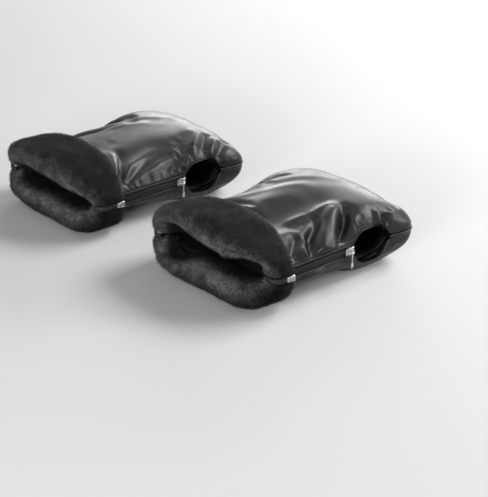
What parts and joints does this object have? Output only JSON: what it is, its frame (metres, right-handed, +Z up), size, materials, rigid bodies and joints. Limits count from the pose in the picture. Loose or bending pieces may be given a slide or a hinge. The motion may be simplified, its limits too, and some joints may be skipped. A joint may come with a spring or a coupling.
{
  "type": "stroller hand muff",
  "caption": "Padded leather hand muffs with turned-back fur cuffs, zipped sides and a round side opening for the handlebar.",
  "frame": {"origin": "on the surface that the muffs lie on, under the middle of the two muffs together", "axes": "+X from the mouths to the closed ends, +Y across, along the handlebar, from the right muff to the left one, +Z up"},
  "size_m": [0.25, 0.4324, 0.0805],
  "materials": {
    "leather": "smooth black imitation leather with a soft shine",
    "fur": "black short-pile plush fur",
    "wadding": "white fibre wadding, hidden",
    "tape": "black woven tape",
    "teeth": "black moulded zip teeth",
    "nickel": "bright nickel plate"
  },
  "bodies": {
    "muffs": {"right_upper_shell": "leather", "right_upper_wadding": "wadding", "right_upper_lining": "fur", "right_upper_cuff": "fur", "right_lower_shell": "leather", "right_lower_wadding": "wadding", "right_lower_lining": "fur", "right_lower_cuff": "fur", "right_end_welt": "leather", "right_outer_side_band": "leather", "right_outer_upper_zip_tape": "tape", "right_outer_upper_zip_teeth": "teeth", "right_outer_lower_zip_tape": "tape", "right_outer_lower_zip_teeth": "teeth", "right_outer_cuff_chain": "teeth", "right_outer_zip_box": "nickel", "right_outer_zip_pin": "nickel", "right_inner_side_band": "leather", "right_inner_upper_zip_tape": "tape", "right_inner_upper_zip_teeth": "teeth", "right_inner_lower_zip_tape": "tape", "right_inner_lower_zip_teeth": "teeth", "right_inner_cuff_chain": "teeth", "right_inner_zip_box": "nickel", "right_inner_zip_pin": "nickel", "left_upper_shell": "leather", "left_upper_wadding": "wadding", "left_upper_lining": "fur", "left_upper_cuff": "fur", "left_lower_shell": "leather", "left_lower_wadding": "wadding", "left_lower_lining": "fur", "left_lower_cuff": "fur", "left_end_welt": "leather", "left_outer_side_band": "leather", "left_outer_upper_zip_tape": "tape", "left_outer_upper_zip_teeth": "teeth", "left_outer_lower_zip_tape": "tape", "left_outer_lower_zip_teeth": "teeth", "left_outer_cuff_chain": "teeth", "left_outer_zip_box": "nickel", "left_outer_zip_pin": "nickel", "left_inner_side_band": "leather", "left_inner_upper_zip_tape": "tape", "left_inner_upper_zip_teeth": "teeth", "left_inner_lower_zip_tape": "tape", "left_inner_lower_zip_teeth": "teeth", "left_inner_cuff_chain": "teeth", "left_inner_zip_box": "nickel", "left_inner_zip_pin": "nickel"},
    "right_outer_slider": {"right_outer_zip_slider": "nickel"},
    "right_outer_pull": {"right_outer_zip_pull": "nickel"},
    "right_inner_slider": {"right_inner_zip_slider": "nickel"},
    "right_inner_pull": {"right_inner_zip_pull": "nickel"},
    "left_outer_slider": {"left_outer_zip_slider": "nickel"},
    "left_outer_pull": {"left_outer_zip_pull": "nickel"},
    "left_inner_slider": {"left_inner_zip_slider": "nickel"},
    "left_inner_pull": {"left_inner_zip_pull": "nickel"}
  },
  "joints": [
    {"name": "right_outer_zip_slide", "type": "slide", "parent": "muffs", "child": "right_outer_slider", "axis": [-1, 0, 0], "range_m": [0, 0.075], "deforming": ["right_outer_upper_zip_teeth", "right_outer_lower_zip_teeth"]},
    {"name": "right_outer_pull_swing", "type": "hinge", "parent": "right_outer_slider", "child": "right_outer_pull", "pos_m": [0.028, -0.211, 0.036], "axis": [-1, 0, 0], "range_deg": [-15, 170]},
    {"name": "right_inner_zip_slide", "type": "slide", "parent": "muffs", "child": "right_inner_slider", "axis": [-1, 0, 0], "range_m": [0, 0.08], "deforming": ["right_inner_upper_zip_teeth", "right_inner_lower_zip_teeth"]},
    {"name": "right_inner_pull_swing", "type": "hinge", "parent": "right_inner_slider", "child": "right_inner_pull", "pos_m": [0.028, -0.041, 0.036], "axis": [1, 0, 0], "range_deg": [-15, 170]},
    {"name": "left_outer_zip_slide", "type": "slide", "parent": "muffs", "child": "left_outer_slider", "axis": [-1, 0, 0], "range_m": [0, 0.079], "deforming": ["left_outer_upper_zip_teeth", "left_outer_lower_zip_teeth"]},
    {"name": "left_outer_pull_swing", "type": "hinge", "parent": "left_outer_slider", "child": "left_outer_pull", "pos_m": [0.008, 0.211, 0.036], "axis": [1, 0, 0], "range_deg": [-15, 170]},
    {"name": "left_inner_zip_slide", "type": "slide", "parent": "muffs", "child": "left_inner_slider", "axis": [-1, 0, 0], "range_m": [0, 0.077], "deforming": ["left_inner_upper_zip_teeth", "left_inner_lower_zip_teeth"]},
    {"name": "left_inner_pull_swing", "type": "hinge", "parent": "left_inner_slider", "child": "left_inner_pull", "pos_m": [0.008, 0.041, 0.036], "axis": [-1, 0, 0], "range_deg": [-15, 170]}
  ]
}
